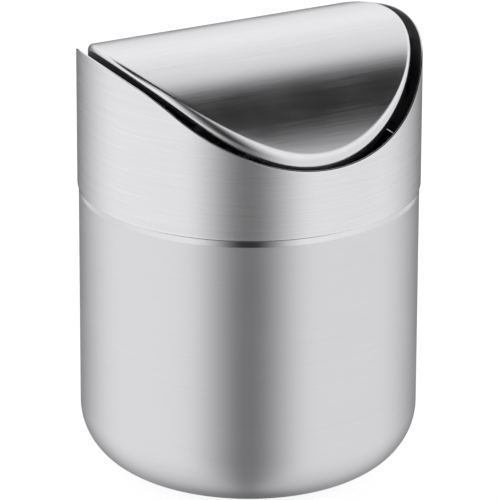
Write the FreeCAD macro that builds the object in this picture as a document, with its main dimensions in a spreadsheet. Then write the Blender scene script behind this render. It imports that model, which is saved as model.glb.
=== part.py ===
import FreeCAD, Part
import math
import os

import Sketcher

# Desktop swing-lid bin in stainless steel sheet. Millimetres, +Z up.
# Origin: on the floor under the centre of the base. The flap swings about an axis along X.

# Driving dimensions: name, value, meaning.
DIMENSIONS = [
    # bin
    ("body_radius", 60.5, "outside of the bin's straight wall"),
    ("sheet", 0.6, "sheet of the bin and of the lid collar"),
    ("foot_height", 1.0, "height of the rubber ring under the base"),
    ("foot_outer", 34.5, "outer radius of the rubber ring"),
    ("foot_inner", 27.0, "inner radius of the rubber ring"),
    ("corner_radius", 21.0, "rounding between base and wall"),
    ("panel_radius", 23.0, "flat raised panel in the middle of the base"),
    ("panel_rise", 2.0, "height of that panel above the base"),
    ("shoulder_height", 103.0, "where the wall starts to neck in"),
    ("neck_radius", 59.2, "outside of the neck inside the collar"),
    ("mouth_height", 115.0, "top of the rolled mouth"),
    ("roll", 1.2, "outer radius of the rolled mouth"),
    # lid collar and the ring inside it
    ("collar_radius", 61.0, "outside of the lid collar"),
    ("collar_height", 105.6, "lower edge of the lid collar"),
    ("rim_ridge", 159.9, "top of the collar's two peaks"),
    ("rim_arc", 77.0, "arc of the collar's upper edge over the peaks"),
    ("rim_crest", 17.0, "slope where that arc ends, degrees"),
    ("rim_bend", 41.7, "tighter arc from there to the straight flanks"),
    ("rim_slope", 39.0, "slope of the flanks, degrees"),
    ("half_span", 70.0, "half width of the crowns' profiles"),
    ("skirt_height", 106.8, "lower edge of the locating ring's skirt"),
    ("skirt_radius", 59.3, "inside of the locating ring's skirt"),
    ("seat_radius", 56.8, "inside of the locating ring's seat"),
    ("seat_depth", 1.2, "thickness of the locating ring's seat"),
    # flap
    ("flap_radius", 56.9, "outline of the flap in plan"),
    ("flap_sheet", 0.8, "sheet of the flap"),
    ("flap_ridge", 161.3, "top of the flap's ridge"),
    ("flap_arc", 69.5, "arc of the flap across the ridge"),
    ("flap_slope", 60.0, "slope beyond that arc, outside the flap, degrees"),
    ("flange_depth", 3.3, "depth of the flap's turned-down edge, square to the crown"),
    ("flange_level", 153.3, "lower edge of the deeper flange at the ridge's ends"),
    ("edge_round", 1.2, "rounding of the flap's edge"),
    # pivot line
    ("pivot_height", 144.5, "height of the flap's axis"),
    ("plate_sheet", 1.0, "pivot plate on the collar's inner wall"),
    ("plate_half_width", 8.0, "half width of the pivot plate"),
    ("plate_above", 8.0, "height of the pivot plate above the axis"),
    ("plate_below", 14.0, "depth of the pivot plate below the axis"),
    ("pin_radius", 2.0, "radius of the pivot pin"),
    ("pin_tip", 51.8, "free end of the pin, from the middle of the bin"),
    ("pin_root", 60.3, "welded end of the pin"),
    ("collet_inner", 58.25, "inner face of the pin's collar"),
    ("collet_outer", 59.25, "outer face of the pin's collar"),
    ("collet_radius", 3.5, "radius of the pin's collar"),
    ("pin_chamfer", 0.4, "chamfer on the free end of the pin"),
    ("running_gap", 0.05, "radial clearance on the pin"),
    ("side_gap", 0.05, "axial clearance between the pieces on the pin"),
    ("lug_face", 55.2, "outer face of the hinge lug"),
    ("lug_radius", 6.5, "rounded end of the hinge lug"),
    ("lug_foot", 46.0, "inner end of the hinge lug's welded foot"),
    ("bush_radius", 3.2, "outside of the bush, and the hole in the lug"),
    ("bush_inner", 53.8, "inner end of the bush"),
    ("bush_outer", 56.0, "outer face of the bush's flange"),
    ("bush_flange", 4.5, "radius of the bush's flange"),
    ("spacer_radius", 4.0, "radius of the spacer washer"),
    ("clip_inner", 53.1, "inner face of the push-on clip"),
    ("clip_outer", 53.7, "outer face of the push-on clip"),
    ("clip_radius", 4.8, "outer radius of the push-on clip"),
    ("clip_slot", 0.4, "half width of the clip's slots"),
    ("clip_slot_end", 3.4, "how far out the clip's slots run"),
    # counterweight
    ("bracket_sheet", 1.2, "sheet of hinge lugs and hangers"),
    ("foot_depth", 2.0, "underside of their welded feet, below the flap's crown"),
    ("bar_height", 114.5, "height of the counterweight's centre line"),
    ("bar_radius", 6.5, "radius of the counterweight bar"),
    ("bar_half", 36.4, "half length of the counterweight bar"),
    ("bar_chamfer", 0.8, "chamfer on the ends of the bar"),
    ("hanger_radius", 6.0, "rounded lower end of the hanger"),
    ("hanger_foot", 27.0, "inner end of the hanger's welded foot"),
    ("screw_radius", 2.0, "screw thread, and the bore in the bar"),
    ("screw_hole", 2.2, "clearance hole in the hanger"),
    ("screw_depth", 9.0, "how far the screw runs into the bar"),
    ("bore_depth", 11.0, "depth of the bore in the bar"),
    ("screw_head", 3.7, "radius of the screw's head"),
    ("screw_rise", 2.2, "height of the screw's head"),
    ("socket_radius", 1.3, "recess in the screw's head"),
    ("socket_depth", 1.1, "depth of that recess"),
]
SIZES = {name: value for name, value, _ in DIMENSIONS}
CLIP_SLOTS = 6  # slots round each push-on clip

MIRRORED = FreeCAD.Rotation(FreeCAD.Vector(0, 0, 1), 180)
ACROSS = FreeCAD.Rotation(FreeCAD.Vector(1, 1, 1), 120)  # sketch X, Y, Z to Y, Z, X
SIDES = (("right", FreeCAD.Rotation()), ("left", MIRRORED))

doc = FreeCAD.newDocument("swing_bin")


# ---- sheet and sums of its names ----


def make_sheet():
    sheet = doc.addObject("Spreadsheet::Sheet", "dims")
    for row, (name, value, meaning) in enumerate(DIMENSIONS, start=1):
        sheet.set(f"A{row}", meaning)
        sheet.set(f"B{row}", str(value))
        sheet.setAlias(f"B{row}", name)
    doc.recompute()


def total(names):
    """The number that a sum such as "body_radius - sheet" stands for."""
    result = 0.0
    sign = 1.0
    for word in names.split():
        if word in ("+", "-"):
            sign = 1.0 if word == "+" else -1.0
        else:
            result += sign * (SIZES[word] if word in SIZES else float(word))
    return result


def bound(names):
    """The same sum as an expression on the sheet."""
    return " ".join(f"dims.{word}" if word in SIZES else word for word in names.split())


def bind(feature, **properties):
    """Binds properties to sums; a double underscore in a name stands for a dot."""
    for name, names in properties.items():
        feature.setExpression(name.replace("__", "."), bound(names))


# ---- sketches ----


def pin_point(sketch, shape, end, across, up):
    """Fixes one end of a line or arc at two sums measured from the sketch's origin."""
    for kind, axis, names in (("DistanceX", -2, across), ("DistanceY", -1, up)):
        if names == "0":
            sketch.addConstraint(Sketcher.Constraint("PointOnObject", shape, end, axis))
            continue
        rule = Sketcher.Constraint(kind, -1, 1, shape, end, total(names))
        bind(sketch, **{f"Constraints[{sketch.addConstraint(rule)}]": names})


def add_arc(sketch, start, finish, radius, turn):
    """Adds an arc of at most a half turn and returns its index and its two ends' numbers."""
    chord = finish - start
    rise = math.sqrt(max(radius**2 - (chord.Length / 2) ** 2, 0.0))
    side = FreeCAD.Vector(-chord.y, chord.x, 0).normalize() * turn
    centre = (start + finish) / 2 + side * rise
    first, last = (start, finish) if turn > 0 else (finish, start)
    angles = [math.atan2(p.y - centre.y, p.x - centre.x) for p in (first, last)]
    circle = Part.Circle(centre, FreeCAD.Vector(0, 0, 1), radius)
    shape = sketch.addGeometry(Part.ArcOfCircle(circle, *angles))
    return (shape, 1, 2) if turn > 0 else (shape, 2, 1)


def draw_outline(sketch, corners):
    """Draws a closed outline through its corners and binds them to the sheet.

    A corner is (across, up), or (across, up, radius, turn) where an arc arrives at it:
    turn is 1 for an arc that bends left on the way and -1 for one that bends right.
    """
    points = [FreeCAD.Vector(total(c[0]), total(c[1]), 0) for c in corners]
    pieces = []
    for index, corner in enumerate(corners):
        start, finish = points[index - 1], points[index]
        if len(corner) == 2:
            pieces.append((sketch.addGeometry(Part.LineSegment(start, finish)), 1, 2))
            continue
        radius, turn = corner[2:]
        pieces.append(add_arc(sketch, start, finish, total(radius), turn))
        rule = Sketcher.Constraint("Radius", pieces[-1][0], total(radius))
        bind(sketch, **{f"Constraints[{sketch.addConstraint(rule)}]": radius})
    for index, corner in enumerate(corners):
        shape, _, finish = pieces[index]
        following, start, _ = pieces[(index + 1) % len(pieces)]
        sketch.addConstraint(
            Sketcher.Constraint("Coincident", shape, finish, following, start)
        )
        pin_point(sketch, shape, finish, corner[0], corner[1])


def draw_circles(sketch, *radii):
    for radius in radii:
        circle = Part.Circle(FreeCAD.Vector(), FreeCAD.Vector(0, 0, 1), total(radius))
        shape = sketch.addGeometry(circle)
        sketch.addConstraint(Sketcher.Constraint("Coincident", shape, 3, -1, 1))
        rule = Sketcher.Constraint("Radius", shape, total(radius))
        bind(sketch, **{f"Constraints[{sketch.addConstraint(rule)}]": radius})


def fix_flank(sketch, flank, side, slope, names):
    """Gives a flank its slope and the distance of its outer end."""
    turn = -slope if side > 0 else slope - math.pi
    rule = Sketcher.Constraint("Angle", flank, turn)
    formula = f"-dims.{names} * 1 deg" if side > 0 else f"dims.{names} * 1 deg - 180 deg"
    sketch.setExpression(f"Constraints[{sketch.addConstraint(rule)}]", formula)
    rule = Sketcher.Constraint("DistanceX", -1, 1, flank, 2, side * SIZES["half_span"])
    reach = "dims.half_span" if side > 0 else "-dims.half_span"
    sketch.setExpression(f"Constraints[{sketch.addConstraint(rule)}]", reach)


def add_bend(sketch, crown, crest, crest_end, side, centre, radius):
    """Adds the tighter arc between a crown's top arc and one of its flanks."""
    first = math.radians(SIZES[f"{crown}_crest"])
    last = math.radians(SIZES[f"{crown}_slope"])
    bend_radius = SIZES[f"{crown}_bend"]
    step = radius - bend_radius
    outward = FreeCAD.Vector(side * math.sin(first), math.cos(first), 0)
    circle = Part.Circle(centre + outward * step, FreeCAD.Vector(0, 0, 1), bend_radius)
    angles = sorted(math.pi / 2 - side * slope for slope in (first, last))
    bend = sketch.addGeometry(Part.ArcOfCircle(circle, *angles))
    near, far = (2, 1) if side > 0 else (1, 2)
    rule = Sketcher.Constraint("Radius", bend, bend_radius)
    bind(sketch, **{f"Constraints[{sketch.addConstraint(rule)}]": f"{crown}_bend"})
    sketch.addConstraint(Sketcher.Constraint("Tangent", crest, crest_end, bend, near))
    reach = side * radius * math.sin(first)
    rule = Sketcher.Constraint("DistanceX", -1, 1, crest, crest_end, reach)
    sign = "" if side > 0 else "-"
    formula = f"{sign}dims.{crown}_arc * sin(dims.{crown}_crest * 1 deg)"
    sketch.setExpression(f"Constraints[{sketch.addConstraint(rule)}]", formula)
    return bend, far


def draw_crown(sketch, crown, inset, level):
    """Draws a crown's arcs and its two straight flanks, closed at a level.

    The crown is "flap", one arc, or "rim", which also bends more tightly into its flanks.
    The inset is taken off square to the flap's crown. A level below the crown encloses what
    lies under it; one above, what lies over it.
    """
    slope = math.radians(SIZES[f"{crown}_slope"])
    has_bend = f"{crown}_bend" in SIZES
    crest_slope = math.radians(SIZES[f"{crown}_crest"]) if has_bend else slope
    arc_radius = f"{crown}_arc - {inset}"
    radius = total(arc_radius)
    centre_height = f"{crown}_ridge - {crown}_arc"
    centre = FreeCAD.Vector(0, total(centre_height), 0)
    circle = Part.Circle(centre, FreeCAD.Vector(0, 0, 1), radius)
    arc_angles = (math.pi / 2 - crest_slope, math.pi / 2 + crest_slope)
    crest = sketch.addGeometry(Part.ArcOfCircle(circle, *arc_angles))
    rule = Sketcher.Constraint("Radius", crest, radius)
    bind(sketch, **{f"Constraints[{sketch.addConstraint(rule)}]": arc_radius})
    rule = Sketcher.Constraint("DistanceY", -1, 1, crest, 3, centre.y)
    bind(sketch, **{f"Constraints[{sketch.addConstraint(rule)}]": centre_height})
    sketch.addConstraint(Sketcher.Constraint("PointOnObject", crest, 3, -2))
    span = SIZES["half_span"]
    walls = []
    for side, crest_end in ((1, 1), (-1, 2)):
        arc, arc_end = crest, crest_end
        tangent_point = FreeCAD.Vector(side * radius * math.sin(slope), 0, 0)
        tangent_point.y = centre.y + radius * math.cos(slope)
        if has_bend:
            arc, arc_end = add_bend(sketch, crown, crest, crest_end, side, centre, radius)
            tangent_point = sketch.getPoint(arc, arc_end)
        fall = (span - abs(tangent_point.x)) * math.tan(slope)
        outer_point = FreeCAD.Vector(side * span, tangent_point.y - fall, 0)
        low_point = FreeCAD.Vector(side * span, total(level), 0)
        flank = sketch.addGeometry(Part.LineSegment(tangent_point, outer_point))
        wall = sketch.addGeometry(Part.LineSegment(outer_point, low_point))
        sketch.addConstraint(Sketcher.Constraint("Tangent", arc, arc_end, flank, 1))
        fix_flank(sketch, flank, side, slope, f"{crown}_slope")
        sketch.addConstraint(Sketcher.Constraint("Coincident", flank, 2, wall, 1))
        sketch.addConstraint(Sketcher.Constraint("Vertical", wall))
        walls.append((wall, low_point))
    (right_wall, right_low), (left_wall, left_low) = walls
    base = sketch.addGeometry(Part.LineSegment(right_low, left_low))
    sketch.addConstraint(Sketcher.Constraint("Coincident", right_wall, 2, base, 1))
    sketch.addConstraint(Sketcher.Constraint("Coincident", left_wall, 2, base, 2))
    sketch.addConstraint(Sketcher.Constraint("Horizontal", base))
    if level == "0":
        sketch.addConstraint(Sketcher.Constraint("PointOnObject", base, 1, -1))
    else:
        rule = Sketcher.Constraint("DistanceY", -1, 1, base, 1, total(level))
        bind(sketch, **{f"Constraints[{sketch.addConstraint(rule)}]": level})


# ---- PartDesign helpers ----


def new_body(name, rotation=FreeCAD.Rotation(), height="0"):
    body = doc.addObject("PartDesign::Body", name)
    body.Label = name
    base = FreeCAD.Vector(0, 0, total(height))
    body.Placement = FreeCAD.Placement(base, rotation)
    if height != "0":
        bind(body, Placement__Base__z=height)
    return body


def sketch_on(body, plane, name, lift="0"):
    """A sketch on one of the body's own origin planes, lifted along the plane's normal."""
    sketch = body.newObject("Sketcher::SketchObject", name)
    origin_plane = [p for p in body.Origin.OriginFeatures if p.Role == plane][0]
    sketch.AttachmentSupport = [(origin_plane, "")]
    sketch.MapMode = "FlatFace"
    if lift != "0":
        bind(sketch, AttachmentOffset__Base__z=lift)
    return sketch


def revolve(body, sketch, axis):
    feature = body.newObject("PartDesign::Revolution", sketch.Name + "_turned")
    feature.Profile = sketch
    feature.ReferenceAxis = (sketch, [axis])
    feature.Angle = 360
    sketch.Visibility = False
    return feature


def pad(body, sketch, length):
    feature = body.newObject("PartDesign::Pad", sketch.Name + "_pad")
    feature.Profile = sketch
    bind(feature, Length=length)
    return feature


def turned_body(name, corners, axis, rotation=FreeCAD.Rotation(), height="0"):
    """A body turned about the sketch's V_Axis (upright) or H_Axis (along X)."""
    body = new_body(name, rotation, height)
    sketch = sketch_on(body, "XZ_Plane", name + "_section")
    draw_outline(sketch, corners)
    revolve(body, sketch, axis)
    return body


def ring_corners(inner, outer, start, finish):
    """The section of a plain ring on the pivot line."""
    return [(start, inner), (finish, inner), (finish, outer), (start, outer)]


def edges_where(shape, wanted):
    """The names of the edges whose middle point passes the test."""
    names = []
    for index, edge in enumerate(shape.Edges, start=1):
        middle = edge.valueAt((edge.FirstParameter + edge.LastParameter) / 2)
        if wanted(middle, edge):
            names.append(f"Edge{index}")
    return names


def chamfer(body, wanted, size):
    doc.recompute()
    base = body.Tip
    feature = body.newObject("PartDesign::Chamfer", body.Name + "_chamfer")
    feature.Base = (base, edges_where(base.Shape, wanted))
    bind(feature, Size=size)
    return feature


# ---- Part helpers ----


def cylinder(name, radius, start, length, along_x=False):
    """A cylinder from a start height, or from a start distance along X."""
    tool = doc.addObject("Part::Cylinder", name)
    bind(tool, Radius=radius, Height=length)
    if along_x:
        tool.Placement.Rotation = FreeCAD.Rotation(FreeCAD.Vector(0, 1, 0), 90)
        bind(tool, Placement__Base__x=start)
    elif start != "0":
        bind(tool, Placement__Base__z=start)
    return tool


def prism(name, sketch, length):
    """The sketch pushed both ways along its normal."""
    tool = doc.addObject("Part::Extrusion", name)
    tool.Base = sketch
    tool.DirMode = "Normal"
    tool.Symmetric = True
    tool.Solid = True
    bind(tool, LengthFwd=length)
    return tool


def under_flap_crown(name, inset):
    """Everything under the flap's crown, inset square to it."""
    sketch = doc.addObject("Sketcher::SketchObject", name + "_outline")
    sketch.Placement.Rotation = ACROSS
    draw_crown(sketch, "flap", inset, "0")
    return prism(name, sketch, "half_span + half_span")


def combine(kind, name, first, second):
    feature = doc.addObject(f"Part::{kind}", name)
    feature.Label = name
    feature.Base = first
    feature.Tool = second
    return feature


# ---- bin ----


def make_bin_shell():
    """A drawn can: raised base panel, round corner, polished shoulder and rolled mouth."""
    slope_end = "panel_radius + panel_rise + sheet"
    low = "foot_height"
    roll_inside = "roll - sheet"
    corners = [
        ("0", f"{low} + panel_rise"),
        ("panel_radius", f"{low} + panel_rise"),
        (slope_end, low),
        ("body_radius - corner_radius", low),
        ("body_radius", f"{low} + corner_radius", "corner_radius", 1),
        ("body_radius", "shoulder_height"),
        ("neck_radius", "collar_height"),
        ("neck_radius", "mouth_height - roll"),
        ("neck_radius - roll", "mouth_height", "roll", 1),
        ("neck_radius - roll - roll", "mouth_height - roll", "roll", 1),
        ("neck_radius - roll - roll + sheet", "mouth_height - roll"),
        ("neck_radius - roll", "mouth_height - sheet", roll_inside, -1),
        ("neck_radius - sheet", "mouth_height - roll", roll_inside, -1),
        ("neck_radius - sheet", "collar_height"),
        ("body_radius - sheet", "shoulder_height"),
        ("body_radius - sheet", f"{low} + corner_radius"),
        (
            "body_radius - corner_radius",
            f"{low} + sheet",
            "corner_radius - sheet",
            -1,
        ),
        (slope_end, f"{low} + sheet"),
        ("panel_radius", f"{low} + panel_rise + sheet"),
        ("0", f"{low} + panel_rise + sheet"),
    ]
    return turned_body("bin_shell", corners, "V_Axis")


def make_base_ring():
    """The rubber ring that the bin stands on, bonded under the base."""
    body = new_body("base_ring")
    sketch = sketch_on(body, "XY_Plane", "base_ring_circles")
    draw_circles(sketch, "foot_outer", "foot_inner")
    pad(body, sketch, "foot_height")
    return body


# ---- lid ----


def make_lid_collar():
    """A rolled sheet collar whose upper edge is cut to the crown."""
    body = new_body("lid_collar")
    circles = sketch_on(body, "XY_Plane", "collar_circles", "collar_height")
    draw_circles(circles, "collar_radius", "collar_radius - sheet")
    pad(body, circles, "rim_ridge - collar_height")
    crown = sketch_on(body, "YZ_Plane", "collar_crown")
    draw_crown(crown, "rim", "0", "rim_ridge + rim_arc")
    cut = body.newObject("PartDesign::Pocket", "collar_crown_cut")
    cut.Profile = crown
    cut.Type = "ThroughAll"
    cut.Midplane = True
    return body


def make_locating_ring():
    """The moulded ring inside the collar: it sits on the mouth and its skirt centres the lid."""
    corners = [
        ("skirt_radius", "skirt_height"),
        ("collar_radius - sheet", "skirt_height"),
        ("collar_radius - sheet", "mouth_height + seat_depth"),
        ("seat_radius", "mouth_height + seat_depth"),
        ("seat_radius", "mouth_height"),
        ("skirt_radius", "mouth_height"),
    ]
    return turned_body("locating_ring", corners, "V_Axis")


def make_pivot_plate(side, rotation):
    """A curved plate welded to the collar's inner wall, with the hole for the pin."""
    name = f"pivot_plate_{side}"
    low = "pivot_height - plate_below"
    tall = "plate_above + plate_below"
    outer = cylinder(f"{name}_outer", "collar_radius - sheet", low, tall)
    inner = cylinder(f"{name}_inner", "collar_radius - sheet - plate_sheet", low, tall)
    wall = combine("Cut", f"{name}_wall", outer, inner)
    window = doc.addObject("Part::Box", f"{name}_window")
    bind(window, Length="collar_radius", Width="plate_half_width + plate_half_width")
    bind(window, Height=tall, Placement__Base__z=low)
    window.setExpression("Placement.Base.y", "-dims.plate_half_width")
    strip = combine("Common", f"{name}_strip", wall, window)
    hole = cylinder(f"{name}_hole", "pin_radius", "0", "collar_radius", along_x=True)
    bind(hole, Placement__Base__z="pivot_height")
    plate = combine("Cut", name, strip, hole)
    plate.Placement.Rotation = rotation
    return plate


def make_pivot_pin(side, rotation):
    """A turned pin with a collar, welded through the pivot plate."""
    corners = [
        ("pin_tip", "0"),
        ("pin_root", "0"),
        ("pin_root", "pin_radius"),
        ("collet_outer", "pin_radius"),
        ("collet_outer", "collet_radius"),
        ("collet_inner", "collet_radius"),
        ("collet_inner", "pin_radius"),
        ("pin_tip", "pin_radius"),
    ]
    name = f"pivot_pin_{side}"
    body = turned_body(name, corners, "H_Axis", rotation, "pivot_height")
    chamfer(body, lambda point, edge: at_tip(point, edge, SIZES["pin_tip"]), "pin_chamfer")
    return body


def at_tip(point, edge, distance):
    """True for a round edge at a distance along X."""
    return abs(abs(point.x) - distance) < 0.01 and edge.Curve.TypeId == "Part::GeomCircle"


def make_pin_spacer(side, rotation):
    """The nylon washer that fills the space between the pin's collar and the bush."""
    corners = ring_corners(
        "pin_radius + running_gap",
        "spacer_radius",
        "bush_outer + side_gap",
        "collet_inner - side_gap",
    )
    return turned_body(f"pin_spacer_{side}", corners, "H_Axis", rotation, "pivot_height")


def make_pin_clip(side, rotation):
    """The push-on clip that holds the flap on its pin."""
    name = f"pin_clip_{side}"
    corners = ring_corners("pin_radius", "clip_radius", "clip_inner", "clip_outer")
    body = turned_body(name, corners, "H_Axis", rotation, "pivot_height")
    slot = sketch_on(body, "YZ_Plane", f"{name}_slot")
    corners = [
        ("0 - clip_slot", "0"),
        ("clip_slot", "0"),
        ("clip_slot", "clip_slot_end"),
        ("0 - clip_slot", "clip_slot_end"),
    ]
    draw_outline(slot, corners)
    cut = body.newObject("PartDesign::Pocket", f"{name}_slot_cut")
    cut.Profile = slot
    cut.Type = "ThroughAll"
    cut.Reversed = True
    doc.recompute()
    pattern = body.newObject("PartDesign::PolarPattern", f"{name}_slots")
    pattern.Originals = [cut]
    pattern.Axis = (slot, ["N_Axis"])
    pattern.Angle = 360
    pattern.Occurrences = CLIP_SLOTS
    body.Tip = pattern
    return body


# ---- flap ----


def make_flap_panel():
    """A pressed vault with a rounded edge and a flange, deeper at the ends of the ridge."""
    disc = cylinder("flap_disc", "flap_radius", "0", "flap_ridge + 1")
    blank = combine("Common", "flap_blank", disc, under_flap_crown("flap_crown", "0"))
    doc.recompute()
    rounded = doc.addObject("Part::Fillet", "flap_rounded")
    rounded.Base = blank
    edges = edges_where(blank.Shape, on_flap_edge)
    radius = SIZES["edge_round"]
    rounded.Edges = [(int(name[4:]), radius, radius) for name in edges]
    core_disc = cylinder("flap_core_disc", "flap_radius - flap_sheet", "0", "flap_ridge")
    core_crown = under_flap_crown("flap_core_crown", "flap_sheet")
    core = combine("Common", "flap_core", core_disc, core_crown)
    skin = combine("Cut", "flap_skin", rounded, core)
    below_flange = under_flap_crown("flap_below", "flange_depth")
    below_ends = cylinder("flap_below_ends", "collar_radius", "0", "flange_level")
    under = combine("Common", "flap_under", below_flange, below_ends)
    return combine("Cut", "flap_panel", skin, under)


def on_flap_edge(point, edge):
    """True for the edges where the flap's outline meets the crown."""
    on_outline = abs(math.hypot(point.x, point.y) - SIZES["flap_radius"]) < 0.01
    upright = isinstance(edge.Curve, Part.Line)
    return on_outline and not upright and point.z > SIZES["mouth_height"]


def make_bracket(name, face, foot, eye, eye_height, hole, rotation):
    """A bent sheet bracket welded under the flap: a foot along X and an upright with an eye."""
    outline = doc.addObject("Sketcher::SketchObject", f"{name}_outline")
    outline.Placement.Rotation = ACROSS
    outline.Placement.Base.x = total(f"{face} - bracket_sheet")
    bind(outline, Placement__Base__x=f"{face} - bracket_sheet")
    draw_outline(
        outline,
        [
            (f"0 - {eye}", "flap_ridge"),
            (f"0 - {eye}", eye_height),
            ("0", f"{eye_height} - {eye}", eye, 1),
            (eye, eye_height, eye, 1),
            (eye, "flap_ridge"),
        ],
    )
    upright = doc.addObject("Part::Extrusion", f"{name}_upright")
    upright.Base = outline
    upright.DirMode = "Normal"
    upright.Solid = True
    bind(upright, LengthFwd="bracket_sheet")
    block = doc.addObject("Part::Box", f"{name}_block")
    bind(block, Length=f"{face} - {foot}", Width=f"{eye} + {eye}")
    bind(block, Height="flap_arc", Placement__Base__x=foot)
    bind(block, Placement__Base__y=f"0 - {eye}")
    bind(block, Placement__Base__z="flap_ridge - flap_arc")
    below = under_flap_crown(f"{name}_below", "foot_depth")
    foot_block = combine("Cut", f"{name}_foot_block", block, below)
    joined = combine("Fuse", f"{name}_joined", upright, foot_block)
    crown = under_flap_crown(f"{name}_crown", "flap_sheet")
    trimmed = combine("Common", f"{name}_trimmed", joined, crown)
    drill = cylinder(f"{name}_drill", hole, foot, f"{face} - {foot} + 1", along_x=True)
    bind(drill, Placement__Base__z=eye_height)
    bracket = combine("Cut", name, trimmed, drill)
    bracket.Placement.Rotation = rotation
    return bracket


def make_pivot_bush(side, rotation):
    """The flanged nylon bush pressed into the hinge lug, running on the pin."""
    bore = "pin_radius + running_gap"
    corners = [
        ("bush_inner", bore),
        ("bush_outer", bore),
        ("bush_outer", "bush_flange"),
        ("lug_face", "bush_flange"),
        ("lug_face", "bush_radius"),
        ("bush_inner", "bush_radius"),
    ]
    return turned_body(f"pivot_bush_{side}", corners, "H_Axis", rotation, "pivot_height")


def make_counterweight_bar():
    """A round steel bar with a bore in each end for the hanger's screw."""
    corners = [
        ("0 - bar_half + bore_depth", "0"),
        ("bar_half - bore_depth", "0"),
        ("bar_half - bore_depth", "screw_radius"),
        ("bar_half", "screw_radius"),
        ("bar_half", "bar_radius"),
        ("0 - bar_half", "bar_radius"),
        ("0 - bar_half", "screw_radius"),
        ("0 - bar_half + bore_depth", "screw_radius"),
    ]
    name = "counterweight_bar"
    body = turned_body(name, corners, "H_Axis", height="bar_height")
    chamfer(body, on_bar_rim, "bar_chamfer")
    return body


def on_bar_rim(point, edge):
    """True for the two outer round edges of the bar's ends."""
    if edge.Curve.TypeId != "Part::GeomCircle":
        return False
    return abs(edge.Curve.Radius - SIZES["bar_radius"]) < 0.01


def make_counterweight_screws():
    """The two screws that hold the hangers to the ends of the bar."""
    screws = []
    for side, rotation in SIDES:
        name = f"counterweight_screw_{side}"
        start = "bar_half - screw_depth"
        reach = "screw_depth + bracket_sheet"
        shank = cylinder(f"{name}_shank", "screw_radius", start, reach, along_x=True)
        seat = "bar_half + bracket_sheet"
        head = cylinder(f"{name}_head", "screw_head", seat, "screw_rise", along_x=True)
        base = f"{seat} + screw_rise - socket_depth"
        socket = cylinder(f"{name}_socket", "socket_radius", base, "screw_rise", along_x=True)
        for tool in (shank, head, socket):
            bind(tool, Placement__Base__z="bar_height")
        blank = combine("Fuse", f"{name}_blank", shank, head)
        screw = combine("Cut", name, blank, socket)
        screw.Placement.Rotation = rotation
        screws.append(screw)
    group = doc.addObject("Part::Compound", "counterweight_screws")
    group.Links = screws
    return group


# ---- assembly, checks and export ----


def make_parts():
    parts = [make_bin_shell(), make_base_ring(), make_lid_collar(), make_locating_ring()]
    parts.append(make_flap_panel())
    hanger_face = "bar_half + bracket_sheet"
    for side, turn in SIDES:
        parts.append(make_pivot_plate(side, turn))
        parts.append(make_pivot_pin(side, turn))
        parts.append(make_pin_spacer(side, turn))
        parts.append(make_pin_clip(side, turn))
        lug = ("lug_face", "lug_foot", "lug_radius", "pivot_height", "bush_radius")
        parts.append(make_bracket(f"hinge_lug_{side}", *lug, turn))
        parts.append(make_pivot_bush(side, turn))
        hanger = (hanger_face, "hanger_foot", "hanger_radius", "bar_height", "screw_hole")
        parts.append(make_bracket(f"counterweight_hanger_{side}", *hanger, turn))
    parts.append(make_counterweight_bar())
    parts.append(make_counterweight_screws())
    return parts


def check(parts):
    for thing in doc.Objects:
        if {"Invalid", "Error"} & set(thing.State):
            raise RuntimeError(f"{thing.Name} failed: {thing.State}")
    for part in parts:
        if part.Shape.isNull() or not part.Shape.isValid():
            raise RuntimeError(f"{part.Label} has no valid shape")


def export(parts):
    os.makedirs("parts", exist_ok=True)
    for part in parts:
        part.Shape.exportStep(f"parts/{part.Label}.step")
        print(f"{part.Label:28s} {part.Shape.Volume:10.1f} mm3  {len(part.Shape.Solids)} solid(s)")


make_sheet()
bin_parts = make_parts()
doc.recompute()
check(bin_parts)
export(bin_parts)
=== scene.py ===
"""A desktop swing-lid bin in brushed stainless steel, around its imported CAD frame."""

import math

import bpy
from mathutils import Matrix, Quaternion, Vector


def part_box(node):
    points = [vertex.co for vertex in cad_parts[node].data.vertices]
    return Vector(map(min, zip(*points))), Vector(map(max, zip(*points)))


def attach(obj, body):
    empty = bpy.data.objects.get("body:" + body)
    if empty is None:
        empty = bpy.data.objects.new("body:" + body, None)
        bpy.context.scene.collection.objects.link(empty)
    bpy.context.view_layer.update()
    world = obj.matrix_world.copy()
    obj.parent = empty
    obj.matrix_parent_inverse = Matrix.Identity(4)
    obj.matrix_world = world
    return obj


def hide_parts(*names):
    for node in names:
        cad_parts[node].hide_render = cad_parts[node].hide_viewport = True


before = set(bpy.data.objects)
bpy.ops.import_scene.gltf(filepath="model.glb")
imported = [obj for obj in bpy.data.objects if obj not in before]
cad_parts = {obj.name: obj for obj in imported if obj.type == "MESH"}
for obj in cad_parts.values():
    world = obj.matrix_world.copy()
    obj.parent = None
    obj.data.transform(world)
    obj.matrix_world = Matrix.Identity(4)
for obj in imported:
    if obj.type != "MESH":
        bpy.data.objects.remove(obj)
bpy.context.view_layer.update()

MM = 0.001
DEGREE = math.radians(1)
TURN = 2 * math.pi
TINY = 1e-6


def millimetres(value):
    """A length read from the frame's tessellated meshes, in millimetres to the nearest 0.1."""
    return round(value / MM, 1)


# ---- sizes from the frame's boxes, in millimetres ----

can_low, can_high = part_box("bin_shell")
collar_low, collar_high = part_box("lid_collar")
_, flap_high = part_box("flap_panel")
seat_low, seat_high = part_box("locating_ring")
_, foot_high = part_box("base_ring")

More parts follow.
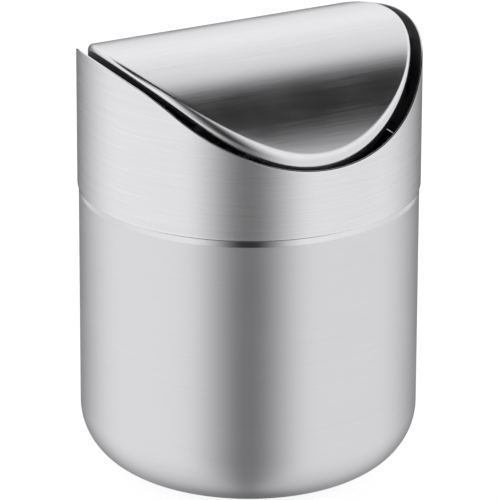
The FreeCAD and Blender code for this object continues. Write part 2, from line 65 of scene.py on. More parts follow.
CAN_RADIUS = millimetres(can_high.x)
CAN_BASE = millimetres(can_low.z)
CAN_MOUTH = millimetres(can_high.z)
COLLAR_RADIUS = millimetres(collar_high.x)
COLLAR_BASE = millimetres(collar_low.z)
RIM_RIDGE = millimetres(collar_high.z)
FLAP_RIDGE = millimetres(flap_high.z)
FLAP_RADIUS = millimetres(flap_high.x)
SEAT_TOP = millimetres(seat_high.z)
SKIRT_BASE = millimetres(seat_low.z)
SEAT_OUTER = millimetres(seat_high.x)
FOOT_OUTER = millimetres(foot_high.x)

# ---- sizes that a box doesn't give, in millimetres ----

SHEET = 0.6  # can and collar
CAN_CORNER = 21.0  # rounding between base and wall
PANEL_RADIUS = 23.0  # raised panel in the base
PANEL_RISE = 2.0
PANEL_BEND = 1.6  # rounding at the foot and the top of its slope
SHOULDER = 103.0  # where the can starts to neck in
NECK_RADIUS = 59.2
NECK_BEND = 0.5  # rounding where the shoulder starts and ends
ROLL = 1.2  # rolled mouth
ROLL_LIP = 0.15  # rounding of the rolled sheet's end
RIM_ARC = 77.0  # the collar's upper edge over its peaks
RIM_CREST = 17 * DEGREE  # slope where that arc ends
RIM_BEND = 41.7  # tighter arc from there to the flanks
RIM_SLOPE = 39 * DEGREE
FLAP_ARC = 69.5  # the flap across the ridge
FLAP_SHEET = 0.8
FLANGE = 3.3  # the flap's turned-down edge, square to the crown
FLANGE_LEVEL = 153.3  # the level line where it ends at the ends of the ridge
SEAT_INNER = 56.8
SKIRT_INNER = 59.3
FOOT_INNER = 27.0

# ---- rounded edges and other fine detail, in millimetres ----

EDGE_REACH = 1.7  # how far in the flap's rounded edge starts
EDGE_DROP = 2.0  # how far that edge rounds down, square to the crown
INNER_DROP = 0.6  # share of that drop on the underside
FLANGE_LIP = 0.2  # rounding of the flange's lower edge
FLANGE_ROOT = 0.5  # rounding between the flange's inner side and the underside
COLLAR_LIP = 0.18  # rounding of the collar's upper edge
COLLAR_FOOT = 0.16  # and of its lower edge
CUT_EDGE = 0.3  # how far the collar's polished edges reach
PAST_SHOULDER = 0.05  # from where the can necks in to where its polish starts
PAST_EDGE = 0.1  # from the foot of the flap's rounded edge to where its polish ends
GROOVES = 4  # in the rubber ring's underside
GROOVE_DEPTH = 0.3
GROOVE_BEND = 0.12
FOOT_BEND = 0.3  # rounding of the rubber ring's lower edges
FOOT_TOP_BEND = 0.1  # and of its upper ones
SEAT_BEND = 0.2  # roundings of the locating ring
SEAT_LIP = 0.5  # at its top, inside
SKIRT_LIP = 0.3  # at its foot, inside
CAD_BEVEL = 0.12  # on the edges of the nodes that keep their CAD shape

AROUND = 288  # steps round each turned or cut shell
FLAP_RINGS = 30  # steps from the middle of the flap to its edge
EDGE_STEPS = 14  # steps round its rounded edge


# ---- meshes ----

HOLD = 0.5  # millimetres from a corner to the point that keeps the flat beside it flat
HOLD_SHARE = 0.2  # of a short side, at most
ROUNDED_SHARE = 0.998  # of a side, for the arcs at its two ends together


def hold_points(start, end, parts):
    """Points strictly between two corners, with one close to each end to keep flats flat."""
    length = math.dist(start, end)
    near = min(HOLD / max(length, TINY), HOLD_SHARE)
    inner = [near + (1 - 2 * near) * step / parts for step in range(parts + 1)]
    return [tuple(a + (b - a) * t for a, b in zip(start, end)) for t in inner]


def round_corner(before, corner, after):
    """The points of an arc that rounds a corner; it shares each side with its neighbour."""
    middle = Vector(corner[:2])
    radius, steps = corner[2:]
    a = Vector(before[:2]) - middle
    b = Vector(after[:2]) - middle
    half = a.angle(b) / 2
    share_a = ROUNDED_SHARE * radius / (radius + before[2])
    share_b = ROUNDED_SHARE * radius / (radius + after[2])
    reach = min(radius / math.tan(half), a.length * share_a, b.length * share_b)
    to_centre = reach * math.tan(half) / math.sin(half)
    centre = middle + (a.normalized() + b.normalized()).normalized() * to_centre
    first = middle + a.normalized() * reach - centre
    last = middle + b.normalized() * reach - centre
    sweep = first.angle_signed(last)
    arc = []
    for step in range(steps + 1):
        angle = -sweep * step / steps
        cosine, sine = math.cos(angle), math.sin(angle)
        turned = Vector((first.x * cosine - first.y * sine, first.x * sine + first.y * cosine))
        arc.append(tuple(centre + turned))
    return arc


def section(corners, closed=False, parts=5):
    """The points of a sheet's section: corners are (radius, height, rounding, arc steps)."""
    count = len(corners)
    points = []
    for index, corner in enumerate(corners):
        ends = not closed and index in (0, count - 1)
        if ends or corner[2] == 0:
            arc = [corner[:2]]
        else:
            arc = round_corner(corners[index - 1], corner, corners[(index + 1) % count])
        if points:
            points += hold_points(points[-1], arc[0], parts)
        points += arc
    if closed:
        points += hold_points(points[-1], points[0], parts)
    return points


def new_piece(name, vertices, faces, body, node, material):
    """A smooth-shaded mesh that rides on a body and stands for a CAD node."""
    mesh = bpy.data.meshes.new(name)
    mesh.from_pydata([tuple(c * MM for c in v) for v in vertices], [], faces)
    mesh.validate()
    mesh.update()
    mesh.shade_smooth()
    mesh.materials.append(material)
    piece = bpy.data.objects.new(name, mesh)
    bpy.context.scene.collection.objects.link(piece)
    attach(piece, body)
    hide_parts(node)
    return piece


def flip_if_inside_out(mesh):
    """Turns the faces outwards when the closed mesh has a negative volume."""
    volume = 0.0
    for polygon in mesh.polygons:
        origin = mesh.vertices[polygon.vertices[0]].co
        for first, second in zip(polygon.vertices[1:-1], polygon.vertices[2:]):
            volume += origin.dot(mesh.vertices[first].co.cross(mesh.vertices[second].co))
    if volume < 0:
        mesh.flip_normals()


def unpolished(*_):
    """The polish of a piece that is the same all over."""
    return 0.0


def swept_shell(name, section_at, body, node, material, closed, polish=unpolished):
    """A shell made of one section for each angle round Z.

    A section starts and ends on the axis unless it is closed. polish(radius, height, angle)
    gives 1 for polished, 0 for brushed and -1 for raw metal darkened by painted shade, kept
    as a point attribute.
    """
    rows = [section_at(TURN * step / AROUND) for step in range(AROUND)]
    count = len(rows[0])
    vertices, index_of, shine = [], {}, []
    for step, row in enumerate(rows):
        angle = TURN * step / AROUND
        for place, (radius, height) in enumerate(row):
            key = (0 if radius < TINY else step, place)
            if key not in index_of:
                index_of[key] = len(vertices)
                vertices.append((radius * math.cos(angle), radius * math.sin(angle), height))
                shine.append(polish(radius, height, angle))
            index_of[(step, place)] = index_of[key]
    faces = []
    for step in range(AROUND):
        following = (step + 1) % AROUND
        for place in range(count if closed else count - 1):
            upper = (place + 1) % count
            corners = [(step, place), (following, place), (following, upper), (step, upper)]
            face = list(dict.fromkeys(index_of[c] for c in corners))
            if len(face) > 2:
                faces.append(face)
    piece = new_piece(name, vertices, faces, body, node, material)
    attribute = piece.data.attributes.new("polish", "FLOAT", "POINT")
    attribute.data.foreach_set("value", shine)
    flip_if_inside_out(piece.data)


# ---- crowns ----


def flap_crown(across, inset=0.0):
    """Height of the flap at a distance across the ridge, inset square to it."""
    return FLAP_RIDGE - FLAP_ARC + math.sqrt((FLAP_ARC - inset) ** 2 - across**2)


def rim_crown(across):
    """Height of the collar's edge: an arc over the peak, a tighter arc, then a flank."""
    side = abs(across)
    crest_end = RIM_ARC * math.sin(RIM_CREST)
    centre = RIM_RIDGE - RIM_ARC
    if side <= crest_end:
        return centre + math.sqrt(RIM_ARC**2 - side**2)
    step = RIM_ARC - RIM_BEND
    bend_across = step * math.sin(RIM_CREST)
    bend_up = centre + step * math.cos(RIM_CREST)
    bend_end = bend_across + RIM_BEND * math.sin(RIM_SLOPE)
    if side <= bend_end:
        return bend_up + math.sqrt(RIM_BEND**2 - (side - bend_across) ** 2)
    flank = (side - bend_end) * math.tan(RIM_SLOPE)
    return bend_up + RIM_BEND * math.cos(RIM_SLOPE) - flank


def rim_height(radius, angle):
    """Height of the collar's edge at an angle round it."""
    return rim_crown(radius * math.sin(angle))


# ---- bin ----


def can_section(_):
    """From the middle of the base out, up the wall, over the rolled mouth and back inside."""
    panel = CAN_BASE + PANEL_RISE
    slope_end = PANEL_RADIUS + PANEL_RISE + SHEET
    inner_wall = CAN_RADIUS - SHEET
    inner_neck = NECK_RADIUS - SHEET
    roll_inner = NECK_RADIUS - 2 * ROLL
    roll_top = CAN_MOUTH - SHEET
    corners = [
        (0, panel, 0, 0),
        (PANEL_RADIUS, panel, PANEL_BEND, 5),
        (slope_end, CAN_BASE, PANEL_BEND, 5),
        (CAN_RADIUS, CAN_BASE, CAN_CORNER, 32),
        (CAN_RADIUS, SHOULDER, NECK_BEND, 4),
        (NECK_RADIUS, COLLAR_BASE, NECK_BEND, 4),
        (NECK_RADIUS, CAN_MOUTH, ROLL, 8),
        (roll_inner, CAN_MOUTH, ROLL, 8),
        (roll_inner, CAN_MOUTH - ROLL, ROLL_LIP, 3),
        (roll_inner + SHEET, CAN_MOUTH - ROLL, ROLL_LIP, 3),
        (roll_inner + SHEET, roll_top, ROLL - SHEET, 6),
        (inner_neck, roll_top, ROLL - SHEET, 6),
        (inner_neck, COLLAR_BASE, NECK_BEND, 4),
        (inner_wall, SHOULDER, NECK_BEND, 4),
        (inner_wall, CAN_BASE + SHEET, CAN_CORNER - SHEET, 24),
        (slope_end, CAN_BASE + SHEET, PANEL_BEND, 5),
        (PANEL_RADIUS, panel + SHEET, PANEL_BEND, 5),
        (0, panel + SHEET, 0, 0),
    ]
    return section(corners)


def can_polish(radius, height, _):
    """The shoulder and the rolled mouth are polished."""
    return 1.0 if height > SHOULDER + PAST_SHOULDER and radius > NECK_RADIUS - 2 * ROLL else 0.0


def make_can():
    """The drawn can, with its base panel, polished shoulder and rolled mouth."""
    swept_shell(
        "can",
        can_section,
        "bin",
        "bin_shell",
        satin_steel(),
        closed=False,
        polish=can_polish,
    )


def foot_section(_):
    """The rubber ring's section, with fine grooves in its underside."""
    pitch = (FOOT_OUTER - FOOT_INNER) / (2 * GROOVES + 1)
    corners = [(FOOT_INNER, CAN_BASE, FOOT_TOP_BEND, 2), (FOOT_INNER, 0, FOOT_BEND, 3)]
    for groove in range(GROOVES):
        near = FOOT_INNER + pitch * (2 * groove + 1)
        far = near + pitch
        corners += [(near, 0, GROOVE_BEND, 2), (near, GROOVE_DEPTH, GROOVE_BEND, 2)]
        corners += [(far, GROOVE_DEPTH, GROOVE_BEND, 2), (far, 0, GROOVE_BEND, 2)]
    corners += [(FOOT_OUTER, 0, FOOT_BEND, 3), (FOOT_OUTER, CAN_BASE, FOOT_TOP_BEND, 2)]
    return section(corners, closed=True, parts=1)


def make_foot():
    """The rubber ring that the can stands on."""
    swept_shell(
        "foot_ring", foot_section, "bin", "base_ring", foot_rubber(), closed=True
    )


# ---- lid ----


def collar_section(angle):
    """The collar's sheet at an angle, up to its cut edge there."""
    inner = COLLAR_RADIUS - SHEET
    corners = [
        (COLLAR_RADIUS, COLLAR_BASE, COLLAR_FOOT, 3),
        (COLLAR_RADIUS, rim_height(COLLAR_RADIUS, angle), COLLAR_LIP, 4),
        (inner, rim_height(inner, angle), COLLAR_LIP, 4),
        (inner, COLLAR_BASE, COLLAR_FOOT, 3),
    ]
    return section(corners, closed=True, parts=8)


def collar_polish(radius, height, angle):
    """The cut edges are polished, and the inner wall is left raw, with its tone darkened as
    painted shade.
    """
    to_rim = rim_height(radius, angle) - height
    # the inner wall gets -1, which makes the steel material darken its tone: painted shade
    if radius < COLLAR_RADIUS - SHEET / 2 and to_rim > CUT_EDGE:
        return -1.0
    return 1.0 if min(to_rim, height - COLLAR_BASE) < CUT_EDGE else 0.0


def make_collar():
    """The lid's sheet ring, its upper edge cut to two peaks and two low sides."""
    swept_shell(
        "collar",
        collar_section,
        "lid",
        "lid_collar",
        collar_steel(),
        closed=True,
        polish=collar_polish,
    )


def seat_section(_):
    """The locating ring's section: a seat over the can's mouth and a skirt outside it."""
    corners = [
        (SKIRT_INNER, SKIRT_BASE, SKIRT_LIP, 3),
        (SEAT_OUTER, SKIRT_BASE, SEAT_BEND, 3),
        (SEAT_OUTER, SEAT_TOP, SEAT_BEND, 3),
        (SEAT_INNER, SEAT_TOP, SEAT_LIP, 4),
        (SEAT_INNER, CAN_MOUTH, SEAT_BEND, 3),
        (SKIRT_INNER, CAN_MOUTH, SEAT_BEND, 3),
    ]
    return section(corners, closed=True, parts=2)


def make_locating_ring():
    """The moulded ring that centres the lid on the can."""
    swept_shell(
        "seat_ring",
        seat_section,
        "lid",
        "locating_ring",
        ring_plastic(),
        closed=True,
    )


# ---- flap ----


def flap_section(angle):
    """Over the crown, round the edge, down the flange and back under."""
    across = math.sin(angle)
    start = FLAP_RADIUS - EDGE_REACH
    points = []
    for step in range(FLAP_RINGS + 1):
        radius = start * step / FLAP_RINGS
        points.append((radius, flap_crown(radius * across)))
    for step in range(1, EDGE_STEPS + 1):
        turn = math.pi / 2 * step / EDGE_STEPS
        radius = start + EDGE_REACH * math.sin(turn)
        inset = EDGE_DROP * (1 - math.cos(turn))
        points.append((radius, flap_crown(radius * across, inset)))
    inner = FLAP_RADIUS - FLAP_SHEET
    inward = inner - EDGE_REACH
    under_edge = flap_crown(inner * across, FLAP_SHEET + EDGE_DROP * INNER_DROP)
    outer_foot = min(flap_crown(FLAP_RADIUS * across, FLANGE), FLANGE_LEVEL)
    inner_foot = min(flap_crown(inner * across, FLANGE), FLANGE_LEVEL)
    corners = [
        (*points[-1], 0, 0),
        (FLAP_RADIUS, outer_foot, FLANGE_LIP, 3),
        (inner, inner_foot, FLANGE_LIP, 3),
        (inner, under_edge, FLANGE_ROOT, 4),
        (inward, flap_crown(inward * across, FLAP_SHEET), 0, 0),
    ]
    points += section(corners, parts=3)[1:]
    for step in range(1, FLAP_RINGS + 1):
        radius = inward * (1 - step / FLAP_RINGS)
        points.append((radius, flap_crown(radius * across, FLAP_SHEET)))
    return points


def flap_polish(radius, height, angle):
    """The rounded edge is polished; the panel, the flange and the underside are brushed."""
    from_edge = FLAP_RADIUS - radius
    flange_top = flap_crown(radius * math.sin(angle), EDGE_DROP + PAST_EDGE)
    if from_edge > EDGE_REACH or height < flange_top:
        return 0.0
    return (1.0 - from_edge / EDGE_REACH) ** 2


def make_flap():
    """The vaulted panel with its rounded edge and turned-down flange."""
    swept_shell(
        "flap",
        flap_section,
        "flap",
        "flap_panel",
        flap_steel(),
        closed=False,
        polish=flap_polish,
    )


# ---- materials ----

MIDDLE = (0.3, 0.7)  # the range that most of a noise's values lie in
FINE_SHARE = 0.75  # of the narrow brush lines; the wide ones have the rest
TONE_STREAK = 0.5  # how much the brush lines change the tone
ROUGH_STREAK = 0.25  # and the roughness
RELIEF_STREAK = 0.3  # and the relief
BRUSH_DEPTH = 0.015 * MM  # depth of the relief
CLOUD_TONE = (0.985, 1.015)  # how much the clouding changes the tone
CLOUD_ROUGH = (-0.01, 0.02)  # and the roughness
CLOUD_RISE = (0.35, 0.75)  # where in the clouding that happens
PAINTED_SHADE_TONE = -0.72  # painted shade: what raw metal loses of the tone, standing in for the shade inside the collar
RAW_ROUGH = 0.2  # and gains in roughness
BRUSH_SPREAD = 0.7  # how far a brushed highlight is drawn out across the lines
MOULD_DEPTH = 0.05 * MM
MOULD_SMOOTHER, MOULD_ROUGHER = 0.05, 0.06  # how far its roughness varies each way
METAL_DEPTH = 0.02 * MM
METAL_SMOOTHER, METAL_ROUGHER = 0.06, 0.08
METAL_TONE = (0.92, 1.06)

ROUND_GRAIN = (40, 40, 4200)  # brushed round the axis
RIDGE_GRAIN = (40, 3600, 3600)  # brushed along the ridge
UPRIGHT = (0, 0, 1)
ACROSS_RIDGE = (0, 1, 0)


class Nodes:
    """A short way to add and join nodes in one tree."""

    def __init__(self, tree):
        self.tree = tree

    def put(self, socket, value):
        """Joins a socket to a node's output, or sets it to a plain value."""
        if isinstance(value, bpy.types.NodeSocket):
            self.tree.links.new(value, socket)
        else:
            socket.default_value = value

    def add(self, kind, settings=None, **inputs):
        """A new node; an underscore in an input's name stands for a space."""
        node = self.tree.nodes.new(kind)
        for name, value in (settings or {}).items():
            setattr(node, name, value)
        for name, value in inputs.items():
            self.put(node.inputs[name.replace("_", " ")], value)
        return node

    def place(self):
        """The place on the object, which every pattern follows."""
        return self.add("ShaderNodeTexCoord").outputs["Object"]

    def maths(self, operation, first, second=0.0, third=0.0):
        """The result of one arithmetic operation."""
        node = self.add("ShaderNodeMath", {"operation": operation})
        for socket, value in zip(node.inputs, (first, second, third)):
            self.put(socket, value)
        return node.outputs[0]

    def product(self, first, *others):
        """All the values multiplied, from the first to the last."""
        for other in others:
            first = self.maths("MULTIPLY", first, other)
        return first

    def ramp(self, value, low, high, to_low=0.0, to_high=1.0, smooth=True):
        """A change from to_low to to_high as the value goes from low to high."""
        node = self.add(
            "ShaderNodeMapRange",
            {"interpolation_type": "SMOOTHSTEP" if smooth else "LINEAR"},
            Value=value,
            From_Min=low,
            From_Max=high,
            To_Min=to_low,
            To_Max=to_high,
        )
        return node.outputs[0]

    def noise(self, vector, scale, detail=2.0, roughness=0.5, stretch=(1, 1, 1)):
        """A noise from 0 to 1, finer where it is stretched more."""
        placed = self.add("ShaderNodeMapping", Vector=vector, Scale=stretch)
        noise = self.add(
            "ShaderNodeTexNoise",
            Vector=placed.outputs[0],
            Scale=scale,
            Detail=detail,
            Roughness=roughness,
        )
        return noise.outputs["Fac"]

    def blend(self, factor, first, second):
        """From the first value to the second as the factor goes from 0 to 1."""
        mix = self.add("ShaderNodeMix", {"data_type": "FLOAT"}, Factor=factor, A=first, B=second)
        return mix.outputs["Result"]

    def shaded(self, tone, value):
        """A colour made lighter or darker by a value."""
        mix = self.add("ShaderNodeMix", {"data_type": "RGBA", "blend_type": "MULTIPLY"})
        grey = self.add("ShaderNodeCombineColor", Red=value, Green=value, Blue=value)
        self.put(mix.inputs["Factor"], 1.0)
        self.put(mix.inputs["A"], (*tone, 1))
        self.put(mix.inputs["B"], grey.outputs[0])
        return mix.outputs["Result"]

    def relief(self, height, distance, strength):
        """A bumped normal."""
        bump = self.add("ShaderNodeBump", Height=height, Distance=distance, Strength=strength)
        return bump.outputs[0]


def new_material(name):
    """A material with its nodes and its shader."""
    material = bpy.data.materials.new(name)
    material.use_nodes = True
    nodes = Nodes(material.node_tree)
    shader = material.node_tree.nodes["Principled BSDF"]
    return material, nodes, shader


def brushed_steel(name, tone, rough, polished_rough, grain, spread, streaks):
    """Stainless sheet, brushed, polished or raw where the polish attribute says so. Raw parts
    get a rougher finish and a much darker tone, which is painted shade.

    grain is the stretch of the brush lines, spread the way that highlights smear, and streaks
    how strong the lines are. Lines of two widths and a faint clouding vary the tone, the
    roughness and the relief.
    """
    material, nodes, shader = new_material(name)
    place = nodes.place()
    fine = nodes.noise(place, scale=1.0, detail=3.0, roughness=0.6, stretch=grain)
    coarse = nodes.noise(place, scale=0.3, detail=2.0, roughness=0.5, stretch=grain)
    cloud = nodes.noise(place, scale=38.0, detail=3.0, roughness=0.55)
    finish = nodes.add("ShaderNodeAttribute", {"attribute_name": "polish"}).outputs["Fac"]
    polish = nodes.maths("MAXIMUM", finish, 0.0)
    raw_and_shaded = nodes.maths("MAXIMUM", nodes.product(finish, -1.0), 0.0)
    brushed = nodes.maths("SUBTRACT", 1.0, polish)
    lines = nodes.maths(
        "ADD", nodes.product(fine, FINE_SHARE), nodes.product(coarse, 1 - FINE_SHARE)
    )
    uneven = nodes.product(nodes.maths("SUBTRACT", lines, 0.5), brushed)

    line_tone = nodes.maths("MULTIPLY_ADD", uneven, TONE_STREAK * streaks, 1.0)
    cloud_tone = nodes.ramp(cloud, *MIDDLE, *CLOUD_TONE, smooth=False)
    # painted shade: the raw inner wall's tone is darkened to stand in for the shade it lies in
    painted_shade_tone = nodes.maths("MULTIPLY_ADD", raw_and_shaded, PAINTED_SHADE_TONE, 1.0)
    shade = nodes.product(line_tone, cloud_tone, painted_shade_tone)
    nodes.put(shader.inputs["Base Color"], nodes.shaded(tone, shade))

    line_rough = nodes.maths("MULTIPLY_ADD", uneven, ROUGH_STREAK * streaks, rough)
    clouded = nodes.maths("ADD", line_rough, nodes.ramp(cloud, *CLOUD_RISE, *CLOUD_ROUGH))
    raw_rough = nodes.maths("MULTIPLY_ADD", raw_and_shaded, RAW_ROUGH, clouded)
    nodes.put(shader.inputs["Roughness"], nodes.blend(polish, raw_rough, polished_rough))

    way = nodes.add(
        "ShaderNodeVectorTransform",
        {"vector_type": "VECTOR", "convert_from": "OBJECT", "convert_to": "WORLD"},
        Vector=spread,
    )
    nodes.put(shader.inputs["Tangent"], way.outputs[0])
    nodes.put(shader.inputs["Anisotropic"], nodes.product(brushed, BRUSH_SPREAD))
    strength = nodes.product(brushed, RELIEF_STREAK * streaks)
    nodes.put(shader.inputs["Normal"], nodes.relief(lines, BRUSH_DEPTH, strength))
    nodes.put(shader.inputs["Metallic"], 1.0)
    return material


def satin_steel():
    """The can: fine and even."""
    return brushed_steel(
        "satin_steel",
        tone=(0.655, 0.65, 0.672),
        rough=0.36,
        polished_rough=0.12,
        grain=ROUND_GRAIN,
        spread=UPRIGHT,
        streaks=0.3,
    )


def collar_steel():
    """The collar: the strongest brush lines, round the axis."""
    return brushed_steel(
        "collar_steel",
        tone=(0.695, 0.69, 0.71),
        rough=0.30,
        polished_rough=0.10,
        grain=ROUND_GRAIN,
        spread=UPRIGHT,
        streaks=0.8,
    )


def flap_steel():
    """The flap: glossier, brushed along the ridge."""
    return brushed_steel(
        "flap_steel",
        tone=(0.715, 0.71, 0.73),
        rough=0.19,
        polished_rough=0.16,
        grain=RIDGE_GRAIN,
        spread=ACROSS_RIDGE,
        streaks=0.6,
    )


def moulded(name, colour, rough, scale, strength):
    """Moulded plastic or rubber with a fine grain."""
    material, nodes, shader = new_material(name)
    place = nodes.place()
    grain = nodes.noise(place, scale, detail=4.0, roughness=0.6)
    broad = nodes.noise(place, scale=60.0)
    varied = nodes.ramp(broad, *MIDDLE, rough - MOULD_SMOOTHER, rough + MOULD_ROUGHER)
    nodes.put(shader.inputs["Base Color"], (*colour, 1))
    nodes.put(shader.inputs["Roughness"], varied)
    nodes.put(shader.inputs["Normal"], nodes.relief(grain, MOULD_DEPTH, strength))
    return material


def foot_rubber():
    """Black and matt."""
    return moulded("foot_rubber", (0.022, 0.022, 0.023), rough=0.7, scale=2500, strength=0.25)


def ring_plastic():
    """Black, with a slight sheen."""
    return moulded("ring_plastic", (0.03, 0.03, 0.032), rough=0.42, scale=1800, strength=0.12)


def nylon():
    """Off-white, for the washers and bushes."""
    return moulded("nylon", (0.74, 0.73, 0.67), rough=0.38, scale=2200, strength=0.1)


def plain_metal(name, tone, rough, scale, strength):
    """Mill-finish, plated or turned metal with a soft unevenness."""
    material, nodes, shader = new_material(name)
    place = nodes.place()
    grain = nodes.noise(place, scale, detail=4.0, roughness=0.6)
    broad = nodes.noise(place, scale=90.0, detail=3.0)
    shade = nodes.ramp(broad, *MIDDLE, *METAL_TONE, smooth=False)
    varied = nodes.ramp(grain, *MIDDLE, rough - METAL_SMOOTHER, rough + METAL_ROUGHER)
    nodes.put(shader.inputs["Metallic"], 1.0)
    nodes.put(shader.inputs["Base Color"], nodes.shaded(tone, shade))
    nodes.put(shader.inputs["Roughness"], varied)
    nodes.put(shader.inputs["Normal"], nodes.relief(grain, METAL_DEPTH, strength))
    return material


def mill_steel():
    """The plates, lugs and hangers."""
    return plain_metal("mill_steel", (0.52, 0.52, 0.53), rough=0.36, scale=900, strength=0.2)


def turned_steel():
    """The pins."""
    return plain_metal("turned_steel", (0.62, 0.62, 0.63), rough=0.18, scale=2500, strength=0.1)


def blackened_steel():
    """The spring clips."""
    return plain_metal(
        "blackened_steel", (0.10, 0.10, 0.11), rough=0.38, scale=1600, strength=0.15
    )


def zinc_plate():
    """The counterweight and its screws."""
    return plain_metal("zinc_plate", (0.58, 0.60, 0.62), rough=0.30, scale=1200, strength=0.15)


def finish_cad_nodes():
    """Bevels and finishes for the small pieces that keep their CAD shape."""
    finishes = [
        (mill_steel(), ("pivot_plate", "hinge_lug", "counterweight_hanger")),
        (turned_steel(), ("pivot_pin",)),
        (nylon(), ("pin_spacer", "pivot_bush")),
        (blackened_steel(), ("pin_clip",)),
        (zinc_plate(), ("counterweight_bar", "counterweight_screws")),
    ]
    for material, starts in finishes:
        for node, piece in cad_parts.items():
            if node.startswith(starts):
                piece.data.materials.clear()
                piece.data.materials.append(material)
                soften_edges(piece)


def soften_edges(piece):
    """A small bevel on a CAD node's sharp edges."""
    bevel = piece.modifiers.new("edges", "BEVEL")
    bevel.width = CAD_BEVEL * MM
    bevel.segments = 2
    bevel.limit_method = "ANGLE"
    bevel.angle_limit = 40 * DEGREE


# ---- studio, in metres ----

LENS_AZIMUTH = -27.7 * DEGREE
LENS_ELEVATION = 21.28 * DEGREE
LENS_DISTANCE = 1.8
LENS_LENGTH = 362.2  # in millimetres
LENS_ROLL = 0.23 * DEGREE
AIM_HEIGHT = 0.0712
ASIDE, ABOVE = 0.00044, 0.00694  # from that height on the axis to the middle of the picture
CLIP_START, CLIP_END = 0.05, 20

# The light tent. A part's brightness changes smoothly between two angles: (first angle, second
# angle, brightness at the first, at the second), in degrees round from the lens or up from level.
SLOT_ABOVE = (4, 42, 0.035, 1.0)  # turn: the dark slot where the lens looks in
SLOT_BELOW = (2, 45, 0.235, 1.15)  # turn: the same slot below the horizon
REAR_BELOW = (98, 170, 1.0, 0.14)  # turn: the dark low part behind the object
WALLS = (2, 26, 0.92, 1.14)  # up: the walls get brighter
HIGH = (26, 46, 1.0, 0.87)  # up: and darker again
LOW = (-75, -28, 0.7, 1.0)  # up: straight down is darker
LEVEL = (-8, 4, 0.0, 1.0)  # up: from the lower half's brightness to the upper half's
ROOF_FOOT = (28, 44, 0.0, 1.0)  # up: where the dark roof starts
ROOF_BACK = (-0.57, -0.34, 0.0, 1.0)  # by how far a direction leans to the lens, not by angle
ROOF_FRONT = (0.03, 0.5, 1.0, 0.0)
ROOF_BRIGHTNESS = 0.015
RIGHT_LOSS = -0.08  # what the lower half loses towards the right of the picture

FLOOR_HALF = 6.0
FLOOR_TONE = (0.62, 0.62, 0.62, 1)
FLOOR_ROUGH = 0.9
FLOOR_GLOW = 0.72
WHITE = (1, 1, 1, 1)


def lens_direction():
    """From the object towards the lens."""
    flat = math.cos(LENS_ELEVATION)
    sideways = math.sin(LENS_AZIMUTH) * flat
    forwards = -math.cos(LENS_AZIMUTH) * flat
    return Vector((sideways, forwards, math.sin(LENS_ELEVATION)))


def make_camera():
    """A long lens, aimed a little above the middle of the object."""
    back = lens_direction()
    right = Vector(UPRIGHT).cross(back).normalized()
    up = back.cross(right)
    data = bpy.data.cameras.new("camera")
    data.lens = LENS_LENGTH
    data.clip_start, data.clip_end = CLIP_START, CLIP_END
    camera = bpy.data.objects.new("camera", data)
    bpy.context.scene.collection.objects.link(camera)
    aim = Vector((0, 0, AIM_HEIGHT)) + right * ASIDE + up * ABOVE
    camera.location = aim + back * LENS_DISTANCE
    camera.rotation_mode = "QUATERNION"
    level = (-back).to_track_quat("-Z", "Y")
    camera.rotation_quaternion = level @ Quaternion(UPRIGHT, LENS_ROLL)
    bpy.context.scene.camera = camera


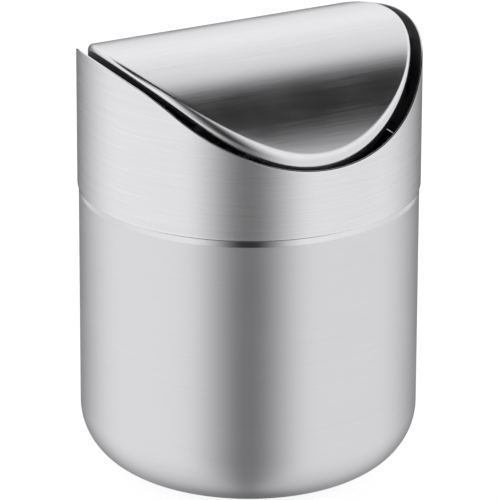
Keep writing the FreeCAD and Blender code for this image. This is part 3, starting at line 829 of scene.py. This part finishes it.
def make_world():
    """A light tent: bright round the sides, dark overhead, with a slot where the lens looks in."""
    world = bpy.data.worlds.new("tent")
    bpy.context.scene.world = world
    world.use_nodes = True
    nodes = Nodes(world.node_tree)
    way = nodes.add("ShaderNodeTexCoord").outputs["Generated"]
    x, y, z = nodes.add("ShaderNodeSeparateXYZ", Vector=way).outputs

    def along(x_share, y_share):
        """How far the direction points along a level line."""
        return nodes.maths("ADD", nodes.product(x, x_share), nodes.product(y, y_share))

    def part(angle, low, high, at_low, at_high):
        """A part's brightness, between two angles given in degrees."""
        return nodes.ramp(angle, low * DEGREE, high * DEGREE, at_low, at_high)

    ahead = along(math.sin(LENS_AZIMUTH), -math.cos(LENS_AZIMUTH))
    aside = along(math.cos(LENS_AZIMUTH), math.sin(LENS_AZIMUTH))
    flat_squared = nodes.maths("SUBTRACT", 1.0, nodes.product(z, z))
    flat = nodes.maths("SQRT", nodes.maths("MAXIMUM", flat_squared, TINY))
    cosine = nodes.maths("MAXIMUM", nodes.maths("DIVIDE", ahead, flat), -1.0)
    turn = nodes.maths("ARCCOSINE", nodes.maths("MINIMUM", cosine, 1.0))
    rise = nodes.maths("ARCSINE", z)

    walls = part(rise, *WALLS)
    above = nodes.product(part(turn, *SLOT_ABOVE), walls, part(rise, *HIGH))
    rear = part(turn, *REAR_BELOW)
    below = nodes.product(part(turn, *SLOT_BELOW), rear, part(rise, *LOW))
    to_right = nodes.maths("MAXIMUM", aside, 0.0)
    right_fall = nodes.maths("MULTIPLY_ADD", nodes.product(to_right, to_right), RIGHT_LOSS, 1.0)
    sides = nodes.blend(part(rise, *LEVEL), nodes.product(below, right_fall), above)

    roof_back = nodes.ramp(ahead, *ROOF_BACK)
    roof_front = nodes.ramp(ahead, *ROOF_FRONT)
    overhead = nodes.product(roof_back, roof_front, part(rise, *ROOF_FOOT))
    tent = nodes.blend(overhead, sides, ROOF_BRIGHTNESS)
    background = world.node_tree.nodes["Background"]
    nodes.put(background.inputs["Color"], WHITE)
    nodes.put(background.inputs["Strength"], tent)


def floor_material():
    """Pale and matt; clear from below, so that the base can be seen."""
    material, nodes, shader = new_material("pale_floor")
    nodes.put(shader.inputs["Base Color"], FLOOR_TONE)
    nodes.put(shader.inputs["Roughness"], FLOOR_ROUGH)
    nodes.put(shader.inputs["Specular IOR Level"], 0.0)
    nodes.put(shader.inputs["Emission Color"], WHITE)
    nodes.put(shader.inputs["Emission Strength"], FLOOR_GLOW)
    clear = nodes.add("ShaderNodeBsdfTransparent")
    mix = nodes.add("ShaderNodeMixShader")
    from_below = nodes.add("ShaderNodeNewGeometry").outputs["Backfacing"]
    for socket, value in zip(mix.inputs, (from_below, shader.outputs[0], clear.outputs[0])):
        nodes.put(socket, value)
    surface = material.node_tree.nodes["Material Output"].inputs["Surface"]
    nodes.put(surface, mix.outputs[0])
    return material


def make_floor():
    """A wide pale table."""
    low, high = -FLOOR_HALF, FLOOR_HALF
    mesh = bpy.data.meshes.new("floor")
    corners = [(low, low, 0), (high, low, 0), (high, high, 0), (low, high, 0)]
    mesh.from_pydata(corners, [], [(0, 1, 2, 3)])
    mesh.materials.append(floor_material())
    floor = bpy.data.objects.new("floor", mesh)
    bpy.context.scene.collection.objects.link(floor)
    floor.visible_glossy = False


# ---- assembly ----

bpy.context.scene.view_settings.view_transform = "Standard"
make_camera()
make_world()
make_floor()
make_can()
make_foot()
make_collar()
make_locating_ring()
make_flap()
finish_cad_nodes()
